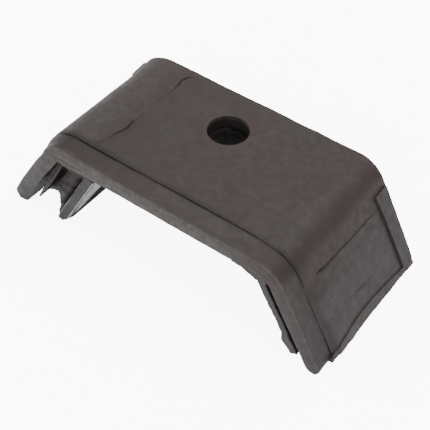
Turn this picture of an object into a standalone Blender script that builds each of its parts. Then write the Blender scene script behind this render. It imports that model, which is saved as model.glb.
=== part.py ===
"""Moulded rubber saddle pad with one bolt hole.

The pad is a bridge section (flat top, two steep legs, round bends) carried along Y.
Its plies, bead, strips and inner walls are separate solids, laid along that section.

Every piece is drawn in developed coordinates: u runs along the section from the middle
of the top (negative to the left leg), and d is the depth under the outer surface. The
function fold(u, d) bends them into X and Z. Lengths are in metres and +Z is up. The
front, with the bead, faces -Y, and the pad stands on its leg ends at Z = 0.
"""

import math

import bmesh
import bpy
from mathutils import Matrix

# --- section of the outer surface ---
TOP_WIDTH = 0.1404          # corner to corner, where the top and leg surfaces meet
LEG_ANGLE = math.radians(61.0)  # below horizontal
LEG = 0.0629                # from that corner to the end of the right leg
LEFT_EXTRA = 0.0007         # the left leg is longer by this
FOOT_TRIM = 0.0007          # cut off the right leg's inner corner, to stand on
BEND_RADIUS = 0.0173        # outer radius of both bends
WALL = 0.0082               # top and legs, cover plies included
BEND_STEPS = 12             # flats in each bend

# --- depth along Y ---
DEPTH = 0.0892
RIM_WIDTH = 0.0113          # bead along the front edge
SEAM = 0.0006               # groove between the bead and the panel

# --- bead ---
RIM_DROP = 0.0002           # outer surface, under the cover plies' surface
RIM_EXTRA = 0.0006          # inner surface, under the panel's inner surface
RIM_SHORT_RIGHT = 0.0011    # the bead's ends, short of the legs' ends
RIM_SHORT_LEFT = 0.0002
RIM_NOSE = 0.0040           # rounding of the bead's two ends

# --- cover plies, strips and lips on the outside ---
PLY = 0.0015
LAP_TOP_X = -0.0458         # lap between the left and top plies
LAP_LEG = 0.0190            # lap on the right leg, from the corner
STRIP_WIDTH = 0.0104        # strips on the legs' rear edges
STRIP_START = 0.0140        # from the corner
STRIP_PROUD = 0.0013
LIP_HEIGHT = 0.0048         # lips along the legs' ends
LIP_PROUD = 0.0009

# --- bolt hole ---
HOLE_D = 0.0220
HOLE_X = -0.0028
HOLE_FROM_REAR = 0.0258
PAD_LEDGE = 0.0010          # the pad's bore is smaller than the hole by this all round
PAD_BORE_SHIFT = 0.0006     # the pad's bore is a little off the hole's axis

# --- pad under the top, round the hole ---
PAD_THICK = 0.0155
PAD_LENGTH = 0.0440         # along X
PAD_DEPTH = 0.0440          # along Y
PAD_CORNER = 0.0080

# --- inner walls ---
WALL_IN_START = 0.0060      # slots start here, from the corner
SLOT_RIGHT = 0.0013
SLOT_LEFT = 0.0024
INNER_RIGHT = 0.0041        # wall thickness
INNER_LEFT = 0.0024
INNER_SHORT_RIGHT = 0.0124  # the walls' ends, short of the legs' ends
INNER_SHORT_LEFT = 0.0196
ROOT_RIGHT = 0.0120         # root under the top, from the bend towards the middle
ROOT_TIP = 0.0006           # thickness where a root runs out
INNER_FRONT = 0.0006        # set back from the front
INNER_REAR = 0.0030         # set back from the rear edge

# --- left rib and the web that joins it to the left inner wall ---
RIB_DEPTH = 0.0265          # outer side of the rib, under the left leg's surface
RIB_THICK = 0.0045
RIB_LIFT = 0.0023           # its end, above the floor
WEB_THICK = 0.0030          # along Y
WEB_BACK = 0.0012           # set back from the inner walls' front ends
WEB_FOOT = 0.0040           # the arch's feet, short of the wall's end
WEB_ARCH = 0.0128           # rise of the arch from its feet to its crown
ARCH_STEPS = 14

GAP = 0.0003                # between touching pieces
EDGE = 0.0004               # edge rounding
HOLE_SIDES = 48

RUBBER = (0.055, 0.050, 0.048)
RUBBER_GREY = (0.085, 0.082, 0.082)
RUBBER_DARK = (0.020, 0.019, 0.019)

# --- values worked out from the above ---
BEND_START = TOP_WIDTH / 2 - BEND_RADIUS * math.tan(LEG_ANGLE / 2)
BEND_LENGTH = BEND_RADIUS * LEG_ANGLE
FRONT = -DEPTH / 2
REAR = DEPTH / 2
PANEL_FRONT = FRONT + RIM_WIDTH + SEAM
HOLE_Y = REAR - HOLE_FROM_REAR
BODY_TOP = PLY + GAP
UNDERSIDE = WALL + RIM_EXTRA + GAP
ROOT_LEFT = BEND_START - (PAD_LENGTH / 2 - HOLE_X) - GAP  # the left root stops at the pad
LEG_RIGHT = LEG
LEG_LEFT = LEG + LEFT_EXTRA
RIM_LEG_RIGHT = LEG_RIGHT - RIM_SHORT_RIGHT
RIM_LEG_LEFT = LEG_LEFT - RIM_SHORT_LEFT
INNER_RIGHT_LEG = LEG_RIGHT - INNER_SHORT_RIGHT
INNER_LEFT_LEG = LEG_LEFT - INNER_SHORT_LEFT
PAD_BORE_D = HOLE_D - 2 * PAD_LEDGE
HEIGHT = LEG * math.sin(LEG_ANGLE) + WALL * math.cos(LEG_ANGLE) - FOOT_TRIM
RIB_CORNER = (RIB_DEPTH + RIB_THICK) * math.cos(LEG_ANGLE)
RIB_LEG = (HEIGHT - RIB_LIFT - RIB_CORNER) / math.sin(LEG_ANGLE)
CENTRE_X = LEFT_EXTRA * math.cos(LEG_ANGLE) / 2


def leg_u(distance):
    """Developed coordinate of a point on a leg, given its distance from the corner."""
    return BEND_START + BEND_LENGTH + distance - BEND_RADIUS * math.tan(LEG_ANGLE / 2)


def fold(u, d):
    """Bend the developed point (u, d) into X and Z, with the top's surface at Z = 0.

    Deeper than the bend's centre there is no arc left, and both flats meet at a mitre.
    """
    side = -1.0 if u < 0 else 1.0
    along = abs(u)
    mitre = d * math.tan(LEG_ANGLE / 2)
    if d >= BEND_RADIUS:
        if along <= BEND_START + BEND_LENGTH / 2:
            return side * min(along, TOP_WIDTH / 2 - mitre), -d
        distance = along - leg_u(0.0)
        return leg_point(side, max(distance, mitre), d)
    if along <= BEND_START:
        return u, -d
    turn = min((along - BEND_START) / BEND_RADIUS, LEG_ANGLE)
    beyond = max(along - BEND_START - BEND_LENGTH, 0.0)
    radius = BEND_RADIUS - d
    x = BEND_START + radius * math.sin(turn) + beyond * math.cos(LEG_ANGLE)
    z = radius * math.cos(turn) - BEND_RADIUS - beyond * math.sin(LEG_ANGLE)
    return side * x, z


def leg_point(side, distance, d):
    """Point beside a leg: its distance from the corner and its depth under the surface."""
    x = TOP_WIDTH / 2 + distance * math.cos(LEG_ANGLE) - d * math.sin(LEG_ANGLE)
    z = -distance * math.sin(LEG_ANGLE) - d * math.cos(LEG_ANGLE)
    return side * x, z


def stations(start, end):
    """Values of u from start to end, with steps in the bends and none on the flats."""
    bends = []
    for side in (-1, 1):
        for step in range(BEND_STEPS + 1):
            bends.append(side * (BEND_START + BEND_LENGTH * step / BEND_STEPS))
    low, high = min(start, end), max(start, end)
    inside = sorted(u for u in bends if low + GAP < u < high - GAP)
    run = [low] + inside + [high]
    return run if start < end else run[::-1]


def band(start, end, top, bottom):
    """Closed outline of a ply of even thickness, from u = start to u = end."""
    outer = [fold(u, top) for u in stations(start, end)]
    inner = [fold(u, bottom) for u in stations(end, start)]
    return outer + inner


def nose(side, distance, top, bottom, length, steps=8):
    """Half-round end of a leg: points from the depth top to the depth bottom."""
    middle = (top + bottom) / 2
    half = (bottom - top) / 2
    points = []
    for step in range(steps + 1):
        angle = math.pi * step / steps
        reach = distance - length + length * math.sin(angle)
        points.append(leg_point(side, reach, middle - half * math.cos(angle)))
    return points


def link(obj, collection):
    """Move an object that an operator made into one of the two collections."""
    for owner in list(obj.users_collection):
        owner.objects.unlink(obj)
    collection.objects.link(obj)
    return obj


def rubber(name, colour, roughness):
    """Principled material in a plain rubber colour."""
    material = bpy.data.materials.new(name)
    material.use_nodes = True
    shader = material.node_tree.nodes["Principled BSDF"]
    shader.inputs["Base Color"].default_value = (*colour, 1.0)
    shader.inputs["Roughness"].default_value = roughness
    shader.inputs["Metallic"].default_value = 0.0
    return material


def without_repeats(outline):
    """The outline without points that fall on the point before them."""
    kept = []
    for x, z in outline:
        if not kept or math.hypot(x - kept[-1][0], z - kept[-1][1]) > GAP / 10:
            kept.append((x, z))
    return kept


def slab(name, outline, near, far, place, material, edge=EDGE):
    """Solid with the XZ outline, from Y = near to Y = far: a filled 2D curve, made a mesh."""
    outline = without_repeats(outline)
    curve = bpy.data.curves.new(name, "CURVE")
    curve.dimensions = "2D"
    curve.fill_mode = "BOTH"
    curve.extrude = (far - near) / 2
    spline = curve.splines.new("POLY")
    spline.points.add(len(outline) - 1)
    for point, (x, z) in zip(spline.points, outline):
        point.co = (x, z, 0.0, 1.0)
    spline.use_cyclic_u = True
    drawn = bpy.data.objects.new(name + "_outline", curve)
    drawn.location = (0.0, (near + far) / 2, 0.0)
    drawn.rotation_euler = (math.radians(90.0), 0.0, 0.0)
    bpy.context.scene.collection.objects.link(drawn)
    bpy.context.view_layer.update()
    graph = bpy.context.evaluated_depsgraph_get()
    mesh = bpy.data.meshes.new_from_object(drawn.evaluated_get(graph))
    solid = bmesh.new()
    solid.from_mesh(mesh)
    bmesh.ops.remove_doubles(solid, verts=solid.verts, dist=1e-6)
    bmesh.ops.dissolve_limit(solid, angle_limit=1e-4, verts=solid.verts, edges=solid.edges)
    bmesh.ops.recalc_face_normals(solid, faces=solid.faces)
    solid.to_mesh(mesh)
    solid.free()
    mesh.name = name
    mesh.materials.clear()
    mesh.materials.append(material)
    piece = bpy.data.objects.new(name, mesh)
    piece.matrix_world = drawn.matrix_world.copy()
    bpy.data.objects.remove(drawn)
    PARTS.objects.link(piece)
    piece.parent = place
    if edge:
        rounding = piece.modifiers.new("Edges", "BEVEL")
        rounding.width = edge
        rounding.segments = 2
        rounding.limit_method = "ANGLE"
        rounding.angle_limit = math.radians(40.0)
    return piece


def cut(piece, cutter):
    """Subtract a cutter from a piece."""
    boolean = piece.modifiers.new("Cut " + cutter.name, "BOOLEAN")
    boolean.operation = "DIFFERENCE"
    boolean.solver = "EXACT"
    boolean.object = cutter
    return piece


def hide(cutter, place):
    """Make an object a cutter: in the cutters' collection, out of renders, as wires."""
    link(cutter, CUTTERS)
    cutter.parent = place
    cutter.hide_render = True
    cutter.display_type = "WIRE"
    return cutter


def round_cutter(name, diameter, x, y, top, bottom, place):
    """Upright cylinder that cuts a bolt hole from Z = bottom to Z = top."""
    bpy.ops.mesh.primitive_cylinder_add(
        vertices=HOLE_SIDES,
        radius=diameter / 2,
        depth=top - bottom,
        location=(x, y, (top + bottom) / 2),
    )
    cutter = bpy.context.object
    cutter.name = name
    return hide(cutter, place)


def strip_cutter(name, side, place):
    """Room for a leg's rear strip in the plies: the strip's outline, with clearance."""
    start = leg_u(STRIP_START) - GAP
    end = leg_u(LEG_RIGHT if side > 0 else LEG_LEFT) + WALL
    outline = [(side * x, z) for x, z in band(start, end, -WALL, BODY_TOP - GAP / 2)]
    near = REAR - STRIP_WIDTH - GAP
    cutter = slab(name, outline, near, REAR + WALL, place, RUBBER_MATERIAL, edge=0.0)
    return hide(cutter, place)


def foot(side, leg):
    """End of a leg of the carcass: square across the leg, and flat where it stands."""
    end_d = min((HEIGHT - leg * math.sin(LEG_ANGLE)) / math.cos(LEG_ANGLE), WALL)
    inner = min((HEIGHT - WALL * math.cos(LEG_ANGLE)) / math.sin(LEG_ANGLE), leg)
    return [leg_point(side, leg, end_d), leg_point(side, inner, WALL)]


def build_body(place):
    """Carcass: the top and both legs under the cover plies, standing on two flat feet."""
    outer = [fold(u, BODY_TOP) for u in stations(-leg_u(LEG_LEFT), leg_u(LEG_RIGHT))]
    inner = [fold(u, WALL) for u in stations(leg_u(LEG_RIGHT), -leg_u(LEG_LEFT))]
    outline = outer + foot(1, LEG_RIGHT) + inner[1:-1] + foot(-1, LEG_LEFT)[::-1]
    return slab("saddle_body", outline, PANEL_FRONT, REAR, place, RUBBER_MATERIAL)


def build_covers(place):
    """Three cover plies: the top ply laps the left one on top and the right one on the leg."""
    left_end = -leg_u(LEG_LEFT - LIP_HEIGHT - GAP)
    right_end = leg_u(LEG_RIGHT - LIP_HEIGHT - GAP)
    left = band(left_end, LAP_TOP_X - GAP / 2, 0.0, PLY)
    top = band(LAP_TOP_X + GAP / 2, leg_u(LAP_LEG) - GAP / 2, 0.0, PLY)
    right = band(leg_u(LAP_LEG) + GAP / 2, right_end, 0.0, PLY)
    plies = []
    for name, outline in (("left", left), ("top", top), ("right", right)):
        ply = slab(name + "_cover_ply", outline, PANEL_FRONT, REAR, place, RUBBER_MATERIAL)
        plies.append(ply)
    return plies


def build_rim(place):
    """Bead along the front edge, with half-round ends on both legs."""
    top = RIM_DROP
    bottom = WALL + RIM_EXTRA
    start = -leg_u(RIM_LEG_LEFT - RIM_NOSE)
    end = leg_u(RIM_LEG_RIGHT - RIM_NOSE)
    outer = [fold(u, top) for u in stations(start, end)]
    inner = [fold(u, bottom) for u in stations(end, start)]
    right = nose(1, RIM_LEG_RIGHT, top, bottom, RIM_NOSE)[1:-1]
    left = nose(-1, RIM_LEG_LEFT, top, bottom, RIM_NOSE)[1:-1]
    outline = outer + right + inner + left[::-1]
    return slab("front_rim", outline, FRONT, FRONT + RIM_WIDTH, place, GREY_MATERIAL)


def build_strips(place):
    """Raised strip down each leg's rear edge, from the bend to the lip at the leg's end."""
    for side, word, leg in ((-1, "left", LEG_LEFT), (1, "right", LEG_RIGHT)):
        start = leg_u(STRIP_START)
        end = leg_u(leg - LIP_HEIGHT - GAP)
        outline = [(side * x, z) for x, z in band(start, end, -STRIP_PROUD, PLY)]
        near = REAR - STRIP_WIDTH
        slab("rear_strip_" + word, outline, near, REAR, place, GREY_MATERIAL)


def build_lips(place):
    """Low lip along the end of each leg, over the carcass and below the plies."""
    for side, word, leg in ((-1, "left", LEG_LEFT), (1, "right", LEG_RIGHT)):
        outline = band(leg_u(leg - LIP_HEIGHT), leg_u(leg), -LIP_PROUD, PLY)
        outline = [(side * x, z) for x, z in outline]
        slab("bottom_lip_" + word, outline, PANEL_FRONT, REAR, place, GREY_MATERIAL)


def inner_wall(name, side, root, slot, thick, reach, place):
    """Wall inside a leg: a tapered root under the top, a bend, and a flap off the leg."""
    near = UNDERSIDE
    far = UNDERSIDE + slot + thick
    slot_u = leg_u(WALL_IN_START)
    end_u = leg_u(reach)
    outer = [fold(u, near) for u in stations(BEND_START - root, slot_u)]
    outer += [fold(slot_u + slot, near + slot), fold(end_u, near + slot)]
    inner = [fold(u, far) for u in stations(end_u, BEND_START)]
    inner.append(fold(BEND_START - root, near + ROOT_TIP))
    outline = [(side * x, z) for x, z in outer + inner]
    rear = REAR - INNER_REAR
    return slab(name, outline, FRONT + INNER_FRONT, rear, place, GREY_MATERIAL)


def build_inner_walls(place):
    """Inner wall of each leg, with a narrow slot between it and the leg."""
    right = (ROOT_RIGHT, SLOT_RIGHT, INNER_RIGHT, INNER_RIGHT_LEG)
    left = (ROOT_LEFT, SLOT_LEFT, INNER_LEFT, INNER_LEFT_LEG)
    inner_wall("inner_wall_right", 1, *right, place)
    inner_wall("inner_wall_left", -1, *left, place)


def under_top(side, d, top_z):
    """Point at the height top_z on the line that is d under a leg's surface."""
    distance = -(top_z + d * math.cos(LEG_ANGLE)) / math.sin(LEG_ANGLE)
    return leg_point(side, distance, d)


def left_root_depth(x):
    """Depth of the left root's lower face at the distance x from the middle."""
    share = (x - (BEND_START - ROOT_LEFT)) / ROOT_LEFT
    share = max(0.0, min(share, 1.0))
    return UNDERSIDE + ROOT_TIP + share * (SLOT_LEFT + INNER_LEFT - ROOT_TIP)


def build_rib(place):
    """Rib on the left, parallel to the leg, from the left wall's root to the floor."""
    outer_x = -under_top(-1, RIB_DEPTH, -UNDERSIDE - SLOT_LEFT - INNER_LEFT)[0]
    top_z = -left_root_depth(outer_x) - GAP
    outline = [under_top(-1, RIB_DEPTH, top_z)]
    outline += nose(-1, RIB_LEG, RIB_DEPTH, RIB_DEPTH + RIB_THICK, RIB_THICK / 2, 6)
    outline += [under_top(-1, RIB_DEPTH + RIB_THICK, top_z)]
    rear = REAR - INNER_REAR
    return slab("left_rib", outline, FRONT + INNER_FRONT, rear, place, GREY_MATERIAL)


def build_web(place):
    """Thin web across the front between the left inner wall and the rib, with an arch."""
    near = UNDERSIDE + SLOT_LEFT + INNER_LEFT + GAP
    far = RIB_DEPTH - GAP
    feet = INNER_LEFT_LEG - WEB_FOOT
    corner = [fold(u, near) for u in stations(BEND_START, leg_u(feet))]
    outline = [(-x, z) for x, z in corner]
    middle = (near + far) / 2
    half = (far - near) / 2
    for step in range(1, ARCH_STEPS):
        angle = math.pi * step / ARCH_STEPS
        reach = feet - WEB_ARCH * math.sin(angle)
        outline.append(leg_point(-1, reach, middle - half * math.cos(angle)))
    outline += [leg_point(-1, feet, far), under_top(-1, far, -near)]
    front = FRONT + INNER_FRONT + WEB_BACK
    return slab("left_web", outline, front, front + WEB_THICK, place, GREY_MATERIAL)


def build_pad(place):
    """Pad under the top round the bolt hole, a rounded block with its own bore."""
    bpy.ops.mesh.primitive_cube_add(size=1.0)
    pad = bpy.context.object
    pad.name = "bore_pad"
    top = -WALL - GAP
    pad.data.transform(Matrix.Diagonal((PAD_LENGTH, PAD_DEPTH, PAD_THICK, 1.0)))
    pad.location = (HOLE_X, HOLE_Y, top - PAD_THICK / 2)
    pad.data.materials.append(DARK_MATERIAL)
    link(pad, PARTS)
    pad.parent = place
    corners = bmesh.new()
    corners.from_mesh(pad.data)
    upright = [e for e in corners.edges if abs(e.verts[0].co.z - e.verts[1].co.z) > PAD_THICK / 2]
    bmesh.ops.bevel(
        corners, geom=upright, offset=PAD_CORNER, segments=6, affect="EDGES", profile=0.5
    )
    corners.to_mesh(pad.data)
    corners.free()
    return pad


def main():
    place = bpy.data.objects.new("saddle_pad_frame", None)
    place.location = (CENTRE_X, 0.0, HEIGHT)
    PARTS.objects.link(place)

    hole = round_cutter("hole_cutter", HOLE_D, HOLE_X, HOLE_Y, WALL, -WALL * 1.5, place)
    pad_bore = round_cutter(
        "pad_bore_cutter",
        PAD_BORE_D,
        HOLE_X - PAD_BORE_SHIFT,
        HOLE_Y,
        0.0,
        -WALL - 2 * PAD_THICK,
        place,
    )
    rooms = [strip_cutter("left_strip_room", -1, place), strip_cutter("right_strip_room", 1, place)]

    cut(build_body(place), hole)
    left, top, right = build_covers(place)
    cut(top, hole)
    cut(top, rooms[1])
    cut(left, rooms[0])
    cut(right, rooms[1])
    build_rim(place)
    build_strips(place)
    build_lips(place)
    build_inner_walls(place)
    build_rib(place)
    build_web(place)
    cut(build_pad(place), pad_bore)
    bpy.context.view_layer.update()


for old in list(bpy.data.objects):
    bpy.data.objects.remove(old)
PARTS = bpy.data.collections.new("rubber_saddle_pad")
CUTTERS = bpy.data.collections.new("cutters")
bpy.context.scene.collection.children.link(PARTS)
bpy.context.scene.collection.children.link(CUTTERS)
RUBBER_MATERIAL = rubber("black_rubber", RUBBER, 0.62)
GREY_MATERIAL = rubber("grey_bloomed_rubber", RUBBER_GREY, 0.66)
DARK_MATERIAL = rubber("inner_rubber", RUBBER_DARK, 0.70)
main()
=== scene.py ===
"""Looks of a moulded rubber saddle pad: a bridge of black rubber with a bolt hole.

Every piece is a surface worked out with numpy in developed coordinates: u runs along the
bridge section from the middle of the top, y runs from the front to the rear, and d is the
depth under the outer surface. Section.place bends them into space. Lengths are in metres.
"""

import math
from collections import namedtuple
from functools import partial

import bpy
import numpy as np
from mathutils import Matrix, Vector


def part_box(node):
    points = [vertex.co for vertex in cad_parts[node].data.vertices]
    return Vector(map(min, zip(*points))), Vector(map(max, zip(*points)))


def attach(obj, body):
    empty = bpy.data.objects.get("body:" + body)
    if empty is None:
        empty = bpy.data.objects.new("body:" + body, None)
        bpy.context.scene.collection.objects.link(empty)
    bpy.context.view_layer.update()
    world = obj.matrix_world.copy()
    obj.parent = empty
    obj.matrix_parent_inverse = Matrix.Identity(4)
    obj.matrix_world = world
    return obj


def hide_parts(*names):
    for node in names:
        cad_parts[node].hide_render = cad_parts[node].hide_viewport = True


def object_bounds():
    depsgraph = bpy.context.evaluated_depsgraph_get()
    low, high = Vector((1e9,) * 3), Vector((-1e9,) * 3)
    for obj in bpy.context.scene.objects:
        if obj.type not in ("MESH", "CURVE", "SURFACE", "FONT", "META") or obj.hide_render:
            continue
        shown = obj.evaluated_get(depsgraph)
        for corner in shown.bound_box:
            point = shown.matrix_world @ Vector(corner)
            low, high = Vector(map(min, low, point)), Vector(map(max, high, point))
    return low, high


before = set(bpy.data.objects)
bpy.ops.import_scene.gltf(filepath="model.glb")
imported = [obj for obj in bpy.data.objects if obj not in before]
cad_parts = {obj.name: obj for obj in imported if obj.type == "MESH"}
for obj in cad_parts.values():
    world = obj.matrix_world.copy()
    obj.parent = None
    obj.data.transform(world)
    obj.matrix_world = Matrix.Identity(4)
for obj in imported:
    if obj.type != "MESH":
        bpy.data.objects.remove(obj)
CAD_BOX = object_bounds()

bl_info = {
    "name": "Rubber Saddle Pad",
    "version": (1, 0, 0),
    "blender": (4, 5, 0),
    "location": "3D View > Sidebar > Saddle Pad",
    "description": "Moulded rubber pad with torn inner flaps, laps, strips and a bolt hole",
    "category": "Add Mesh",
}

# Places taken from the CAD pieces.
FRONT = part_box("front_rim")[0].y
BEAD_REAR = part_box("front_rim")[1].y
PANEL_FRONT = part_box("saddle_body")[0].y
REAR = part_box("saddle_body")[1].y
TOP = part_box("top_cover_ply")[1].z
HOLE_Y = (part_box("bore_pad")[0].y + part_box("bore_pad")[1].y) / 2

Hole = namedtuple("Hole", "centre_a centre_b radius window edge bore")
SHARP = math.radians(38.0)  # edges keener than this are shaded sharp
DUST = (0.045, 0.043, 0.042)
SCRATCHES = 0.0445  # from the right leg's corner down to the scratches

# Stage: the camera's lens is in mm, and its angles are in degrees.
LENS = 79.5
CAMERA_PLACE = (0.20381, -0.28016, 0.38556)
CAMERA_AZIMUTH, CAMERA_ELEVATION, CAMERA_ROLL = 35.51, 47.15, 1.634
FLOOR_REACH = 12.0
FLOOR_GLOW = 8.0  # seen by the camera
FLOOR_DIM = 0.06  # the share of that glow that lights the pad
SKY_LIGHT = 1.15
SKY_GLOW = 8.5  # added where the camera sees the sky
LIGHTS = (  # name, place from the pad's middle, size, power
    ("light_above", (0.05, 0.35, 1.25), 1.3, 26.0),
    ("light_left", (-1.1, -0.5, 0.75), 0.9, 12.0),
    ("light_front", (0.5, -1.3, 0.55), 0.9, 12.0),
)


# ---------------------------------------------------------------- sizes and colours


def length(name, text, default):
    """Length property in metres."""
    return bpy.props.FloatProperty(
        name=name, description=text, default=default, min=0.0, precision=5, unit="LENGTH"
    )


def colour(name, text, default):
    """Colour property."""
    return bpy.props.FloatVectorProperty(
        name=name, description=text, default=default, size=3, min=0.0, max=1.0, subtype="COLOR"
    )


class SaddleSizes(bpy.types.PropertyGroup):
    """Driving sizes of the pad."""

    top_width: length("Top width", "Corner to corner across the top", 0.1404)
    leg_angle: bpy.props.FloatProperty(
        name="Leg angle",
        description="Slope of both legs below the horizontal",
        default=math.radians(61.0),
        subtype="ANGLE",
    )
    right_leg: length("Right leg", "From the corner to the end of the right leg", 0.0629)
    left_leg: length("Left leg", "From the corner to the end of the left leg", 0.0636)
    bend_radius: length("Bend radius", "Outer radius of both bends", 0.0173)
    wall: length("Wall", "Thickness of the top and the legs", 0.0082)
    ply: length("Cover ply", "Thickness of the cover plies", 0.0015)
    hole: length("Hole", "Diameter of the bolt hole", 0.0220)
    hole_shift: length("Hole shift", "The hole is this far left of the middle", 0.0028)
    centre_shift: length("Centre shift", "The top's middle is this far right", 0.00017)


class SaddleColours(bpy.types.PropertyGroup):
    """Rubber colours."""

    brown: colour("Brown", "Warm tone of the aged top", (0.0176, 0.0110, 0.0098))
    green: colour("Green", "Olive tone that mottles the top", (0.0158, 0.0119, 0.0099))
    grey: colour("Grey", "Bluish tone of the legs", (0.0225, 0.0165, 0.0188))
    # painted shade: the bead's tone low down on its legs, set to even out the floor's bounce light
    # there
    foot: colour("Bead's legs", "Bead low down on the legs", (0.0180, 0.0152, 0.0162))
    flash: colour("Flash", "Strips, lips and torn flash", (0.0200, 0.0155, 0.0170))
    bead: colour("Bead", "Front bead", (0.0178, 0.0130, 0.0115))
    inner: colour("Inner", "Inner flaps, rib and web", (0.0446, 0.0425, 0.0439))
    # painted highlight: the pale tone of the rib's inner side above its line, standing in for light
    # on it
    rib: colour("Rib", "Smooth side of the rib", (0.5500, 0.5500, 0.5600))
    # painted shade: near black, for the shadow inside the bolt hole
    bore: colour("Bore", "Inside the bolt hole", (0.0040, 0.0028, 0.0027))
    # rubbed wear on the bead's edges, and painted light on its front between the bends
    rubbed_and_lit: colour("Rubbed bead", "Bead's front and edges", (0.0420, 0.0388, 0.0370))
    # rubbed wear on edges and patches, and painted glints on the bolt hole's rims
    worn_and_lit: colour("Worn And Lit", "Rubbed edges", (0.0420, 0.0400, 0.0380))
    # dirt, and the painted shade in grooves, creases, slots, recesses and the bore
    dirt_and_shade: colour("Dirt And Shade", "Grooves and creases", (0.0060, 0.0036, 0.0030))
    floor: colour("Floor", "Studio floor", (0.90, 0.90, 0.90))


# ---------------------------------------------------------------- section and fields


class Section:
    """The bridge section: a flat top, two round bends and two straight legs."""

    def __init__(self, sizes):
        self.angle = sizes.leg_angle
        self.radius = sizes.bend_radius
        self.half = sizes.top_width / 2
        self.tangent = self.radius * math.tan(self.angle / 2)
        self.bend_start = self.half - self.tangent
        self.bend_length = self.radius * self.angle
        self.right = self.leg_u(sizes.right_leg)
        self.left = -self.leg_u(sizes.left_leg)
        self.wall = sizes.wall
        self.ply = sizes.ply
        self.centre = sizes.centre_shift
        self.hole_x = -sizes.hole_shift
        self.hole_radius = sizes.hole / 2

    def leg_u(self, distance):
        """Developed coordinate at a distance down a leg from the corner."""
        return self.bend_start + self.bend_length + distance - self.tangent

    def down(self, u):
        """Distance down the leg from the corner, negative on the top."""
        return np.abs(u) - self.leg_u(0.0)

    def swell(self, u, y):
        """How far the left side stands off its drawn section: a full bend and a spread leg."""
        s = self.down(u)
        left_bend = 0.0017 + 0.0012 * smooth(0.025, 0.045, y)
        left_bend *= 1.5 * smooth(FRONT, BEAD_REAR - 0.0010, y) - 0.5
        left = left_bend * bell(s - 0.012, 0.0095) + 0.0018 * smooth(0.006, 0.060, s)
        return np.where(u < 0.0, left, 0.0)

    def place(self, u, y, d):
        """Bend (u, y, d): level on the top, an arc of radius R - d, then straight down."""
        side = np.where(u < 0.0, -1.0, 1.0)
        along = np.abs(u)
        turn = np.clip((along - self.bend_start) / self.radius, 0.0, self.angle)
        beyond = np.maximum(along - self.bend_start - self.bend_length, 0.0)
        arm = self.radius - d + self.swell(u, y)
        x = np.minimum(along, self.bend_start) + arm * np.sin(turn)
        x = side * (x + beyond * math.cos(self.angle)) + self.centre
        z = TOP - self.radius + arm * np.cos(turn) - beyond * math.sin(self.angle)
        z = np.maximum(z, 0.0)
        return np.stack([x, y, z], axis=-1)

    def beside_left(self, n, s, y):
        """Left leg's own axes: n is the depth under its surface, s the distance down it."""
        x = self.half + s * math.cos(self.angle) - n * math.sin(self.angle)
        z = TOP - s * math.sin(self.angle) - n * math.cos(self.angle)
        return np.stack([self.centre - x, y, z], axis=-1)


def smooth(low, high, x):
    """Cubic step from 0 at low to 1 at high."""
    t = np.clip((x - low) / (high - low), 0.0, 1.0)
    return t * t * (3.0 - 2.0 * t)


def bell(x, width):
    """Bell curve: 1 at zero, falling off over the width."""
    return np.exp(-((x / width) ** 2))


def curve(x, *points):
    """Smooth curve through (x, value) points: cubic steps between neighbours."""
    places = np.array([p[0] for p in points])
    values = np.array([p[1] for p in points])
    x = np.clip(x, places[0], places[-1])
    i = np.clip(np.searchsorted(places, x) - 1, 0, len(places) - 2)
    t = (x - places[i]) / (places[i + 1] - places[i])
    t = t * t * (3.0 - 2.0 * t)
    return values[i] * (1.0 - t) + values[i + 1] * t


def lattice(x, y, size, seed):
    """Random field in -1..1: random numbers on a square lattice joined by cubic steps."""
    table = np.random.default_rng(seed).uniform(-1.0, 1.0, (64, 64))
    gx, gy = np.asarray(x) / size + 31.0, np.asarray(y) / size + 31.0
    ix, iy = np.floor(gx).astype(int), np.floor(gy).astype(int)
    fx, fy = gx - ix, gy - iy
    fx, fy = fx * fx * (3.0 - 2.0 * fx), fy * fy * (3.0 - 2.0 * fy)
    near = table[ix % 64, iy % 64] * (1 - fx) + table[(ix + 1) % 64, iy % 64] * fx
    far = table[ix % 64, (iy + 1) % 64] * (1 - fx) + table[(ix + 1) % 64, (iy + 1) % 64] * fx
    return near * (1 - fy) + far * fy


def wander(x, size, seed):
    """Random line in -1..1: one row of the lattice."""
    return lattice(x, np.zeros_like(x), size, seed)


def torn(x, step, seed):
    """Broken line in -1..1: random heights every step, joined by straight lines."""
    table = np.random.default_rng(seed).uniform(-1.0, 1.0, 256)
    g = np.asarray(x) / step + 101.3
    i = np.floor(g).astype(int)
    return table[i % 256] * (1.0 - (g - i)) + table[(i + 1) % 256] * (g - i)


def ripple(u, y):
    """Uneven moulding: a slow swell of a tenth of a millimetre and a finer one on it."""
    swell = 0.00011 * lattice(u, y, 0.023, 3)
    return swell + 0.000035 * lattice(u, y, 0.006, 4) + 0.000012 * lattice(u, y, 0.002, 5)


def stations(low, high, step, radius=0.0, fine=()):
    """Values from low to high: even steps, closer in the rounded ends and at fine places."""
    parts = [np.linspace(low, high, max(2, int(round((high - low) / step)) + 1))]
    if radius:
        turn = radius * (1.0 - np.cos(np.linspace(0.0, math.pi / 2, 6)))
        parts += [low + turn, high - turn]
    for place, width in fine:
        parts.append(place + np.linspace(-width, width, 13))
    values = np.unique(np.round(np.concatenate(parts), 7))
    values = values[(values >= low - 1e-7) & (values <= high + 1e-7)]
    gaps = np.diff(values)
    return values[np.concatenate([[True], gaps > 2.5e-5])]


# ---------------------------------------------------------------- mesh builder


def rounding(distance, radius):
    """How far into the rounded border a point is: 1 at the outline, 0 a radius inside."""
    return np.clip(1.0 - distance / radius, 0.0, 1.0) if radius else np.zeros_like(distance)


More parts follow.
